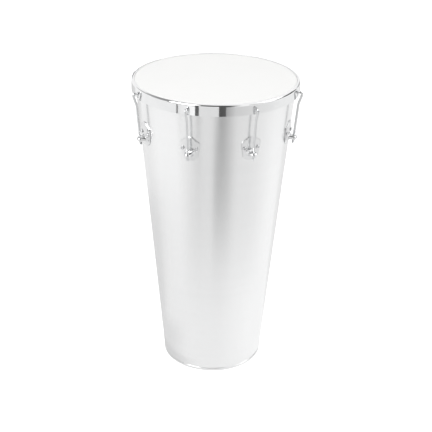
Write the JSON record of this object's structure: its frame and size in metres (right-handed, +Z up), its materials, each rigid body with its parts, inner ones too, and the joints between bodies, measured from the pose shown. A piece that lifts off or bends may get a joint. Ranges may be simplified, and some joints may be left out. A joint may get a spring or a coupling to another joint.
{
  "type": "timbal drum",
  "caption": "Tall conical aluminium hand drum, open at the bottom, with a plastic head held by a chromed band hoop, bent hooks and ledge brackets.",
  "frame": {"origin": "centre of the bottom rim, on the surface that the drum stands on", "axes": "+Z up the drum's axis, towards the head; -Y the front, midway between two hooks"},
  "size_m": [0.3736, 0.3736, 0.7],
  "materials": {
    "shell_aluminium": "satin, rolled",
    "film_white": "milky polyester film",
    "channel_aluminium": "mill",
    "hoop_chrome": "mirror chrome plate",
    "rod_chrome": "chrome plate",
    "bracket_chrome": "chrome plate, pressed",
    "zinc_steel": "bright zinc plate"
  },
  "bodies": {
    "drum_body": {"shell": "shell_aluminium", "bracket_1": "bracket_chrome", "nut_plate_1": "zinc_steel", "bracket_screw_1_left": "zinc_steel", "bracket_screw_1_right": "zinc_steel", "washer_1": "zinc_steel", "bracket_2": "bracket_chrome", "nut_plate_2": "zinc_steel", "bracket_screw_2_left": "zinc_steel", "bracket_screw_2_right": "zinc_steel", "washer_2": "zinc_steel", "bracket_3": "bracket_chrome", "nut_plate_3": "zinc_steel", "bracket_screw_3_left": "zinc_steel", "bracket_screw_3_right": "zinc_steel", "washer_3": "zinc_steel", "bracket_4": "bracket_chrome", "nut_plate_4": "zinc_steel", "bracket_screw_4_left": "zinc_steel", "bracket_screw_4_right": "zinc_steel", "washer_4": "zinc_steel", "bracket_5": "bracket_chrome", "nut_plate_5": "zinc_steel", "bracket_screw_5_left": "zinc_steel", "bracket_screw_5_right": "zinc_steel", "washer_5": "zinc_steel", "bracket_6": "bracket_chrome", "nut_plate_6": "zinc_steel", "bracket_screw_6_left": "zinc_steel", "bracket_screw_6_right": "zinc_steel", "washer_6": "zinc_steel", "bracket_7": "bracket_chrome", "nut_plate_7": "zinc_steel", "bracket_screw_7_left": "zinc_steel", "bracket_screw_7_right": "zinc_steel", "washer_7": "zinc_steel", "bracket_8": "bracket_chrome", "nut_plate_8": "zinc_steel", "bracket_screw_8_left": "zinc_steel", "bracket_screw_8_right": "zinc_steel", "washer_8": "zinc_steel"},
    "head_assembly": {"counter_hoop": "hoop_chrome", "flesh_hoop": "channel_aluminium", "head_film": "film_white"},
    "hook_body_1": {"hook_1": "rod_chrome"},
    "nut_body_1": {"tuning_nut_1": "rod_chrome"},
    "hook_body_2": {"hook_2": "rod_chrome"},
    "nut_body_2": {"tuning_nut_2": "rod_chrome"},
    "hook_body_3": {"hook_3": "rod_chrome"},
    "nut_body_3": {"tuning_nut_3": "rod_chrome"},
    "hook_body_4": {"hook_4": "rod_chrome"},
    "nut_body_4": {"tuning_nut_4": "rod_chrome"},
    "hook_body_5": {"hook_5": "rod_chrome"},
    "nut_body_5": {"tuning_nut_5": "rod_chrome"},
    "hook_body_6": {"hook_6": "rod_chrome"},
    "nut_body_6": {"tuning_nut_6": "rod_chrome"},
    "hook_body_7": {"hook_7": "rod_chrome"},
    "nut_body_7": {"tuning_nut_7": "rod_chrome"},
    "hook_body_8": {"hook_8": "rod_chrome"},
    "nut_body_8": {"tuning_nut_8": "rod_chrome"}
  },
  "joints": [
    {"name": "head_lift", "type": "slide", "parent": "drum_body", "child": "head_assembly", "axis": [0, 0, 1], "range_m": [0, 0.006]},
    {"name": "hook_pull_1", "type": "slide", "parent": "drum_body", "child": "hook_body_1", "axis": [0.0333, -0.0804, 0.9962], "range_m": [0, 0.007]},
    {"name": "nut_turn_1", "type": "hinge", "parent": "drum_body", "child": "nut_body_1", "pos_m": [0.06994, -0.16885, 0.58064], "axis": [-0.0333, 0.0804, -0.9962], "range_deg": [0, 2480]},
    {"name": "hook_pull_2", "type": "slide", "parent": "drum_body", "child": "hook_body_2", "axis": [0.0804, -0.0333, 0.9962], "range_m": [0, 0.007]},
    {"name": "nut_turn_2", "type": "hinge", "parent": "drum_body", "child": "nut_body_2", "pos_m": [0.16885, -0.06994, 0.58064], "axis": [-0.0804, 0.0333, -0.9962], "range_deg": [0, 2480]},
    {"name": "hook_pull_3", "type": "slide", "parent": "drum_body", "child": "hook_body_3", "axis": [0.0804, 0.0333, 0.9962], "range_m": [0, 0.007]},
    {"name": "nut_turn_3", "type": "hinge", "parent": "drum_body", "child": "nut_body_3", "pos_m": [0.16885, 0.06994, 0.58064], "axis": [-0.0804, -0.0333, -0.9962], "range_deg": [0, 2480]},
    {"name": "hook_pull_4", "type": "slide", "parent": "drum_body", "child": "hook_body_4", "axis": [0.0333, 0.0804, 0.9962], "range_m": [0, 0.007]},
    {"name": "nut_turn_4", "type": "hinge", "parent": "drum_body", "child": "nut_body_4", "pos_m": [0.06994, 0.16885, 0.58064], "axis": [-0.0333, -0.0804, -0.9962], "range_deg": [0, 2480]},
    {"name": "hook_pull_5", "type": "slide", "parent": "drum_body", "child": "hook_body_5", "axis": [-0.0333, 0.0804, 0.9962], "range_m": [0, 0.007]},
    {"name": "nut_turn_5", "type": "hinge", "parent": "drum_body", "child": "nut_body_5", "pos_m": [-0.06994, 0.16885, 0.58064], "axis": [0.0333, -0.0804, -0.9962], "range_deg": [0, 2480]},
    {"name": "hook_pull_6", "type": "slide", "parent": "drum_body", "child": "hook_body_6", "axis": [-0.0804, 0.0333, 0.9962], "range_m": [0, 0.007]},
    {"name": "nut_turn_6", "type": "hinge", "parent": "drum_body", "child": "nut_body_6", "pos_m": [-0.16885, 0.06994, 0.58064], "axis": [0.0804, -0.0333, -0.9962], "range_deg": [0, 2480]},
    {"name": "hook_pull_7", "type": "slide", "parent": "drum_body", "child": "hook_body_7", "axis": [-0.0804, -0.0333, 0.9962], "range_m": [0, 0.007]},
    {"name": "nut_turn_7", "type": "hinge", "parent": "drum_body", "child": "nut_body_7", "pos_m": [-0.16885, -0.06994, 0.58064], "axis": [0.0804, 0.0333, -0.9962], "range_deg": [0, 2480]},
    {"name": "hook_pull_8", "type": "slide", "parent": "drum_body", "child": "hook_body_8", "axis": [-0.0333, -0.0804, 0.9962], "range_m": [0, 0.007]},
    {"name": "nut_turn_8", "type": "hinge", "parent": "drum_body", "child": "nut_body_8", "pos_m": [-0.06994, -0.16885, 0.58064], "axis": [0.0333, 0.0804, -0.9962], "range_deg": [0, 2480]}
  ],
  "couplings": [
    {"joint": "hook_pull_1", "follows": "head_lift", "ratio": 1.1469},
    {"joint": "nut_turn_1", "follows": "head_lift", "rad_per_m": 7206.2},
    {"joint": "hook_pull_2", "follows": "head_lift", "ratio": 1.1469},
    {"joint": "nut_turn_2", "follows": "head_lift", "rad_per_m": 7206.2},
    {"joint": "hook_pull_3", "follows": "head_lift", "ratio": 1.1469},
    {"joint": "nut_turn_3", "follows": "head_lift", "rad_per_m": 7206.2},
    {"joint": "hook_pull_4", "follows": "head_lift", "ratio": 1.1469},
    {"joint": "nut_turn_4", "follows": "head_lift", "rad_per_m": 7206.2},
    {"joint": "hook_pull_5", "follows": "head_lift", "ratio": 1.1469},
    {"joint": "nut_turn_5", "follows": "head_lift", "rad_per_m": 7206.2},
    {"joint": "hook_pull_6", "follows": "head_lift", "ratio": 1.1469},
    {"joint": "nut_turn_6", "follows": "head_lift", "rad_per_m": 7206.2},
    {"joint": "hook_pull_7", "follows": "head_lift", "ratio": 1.1469},
    {"joint": "nut_turn_7", "follows": "head_lift", "rad_per_m": 7206.2},
    {"joint": "hook_pull_8", "follows": "head_lift", "ratio": 1.1469},
    {"joint": "nut_turn_8", "follows": "head_lift", "rad_per_m": 7206.2}
  ]
}
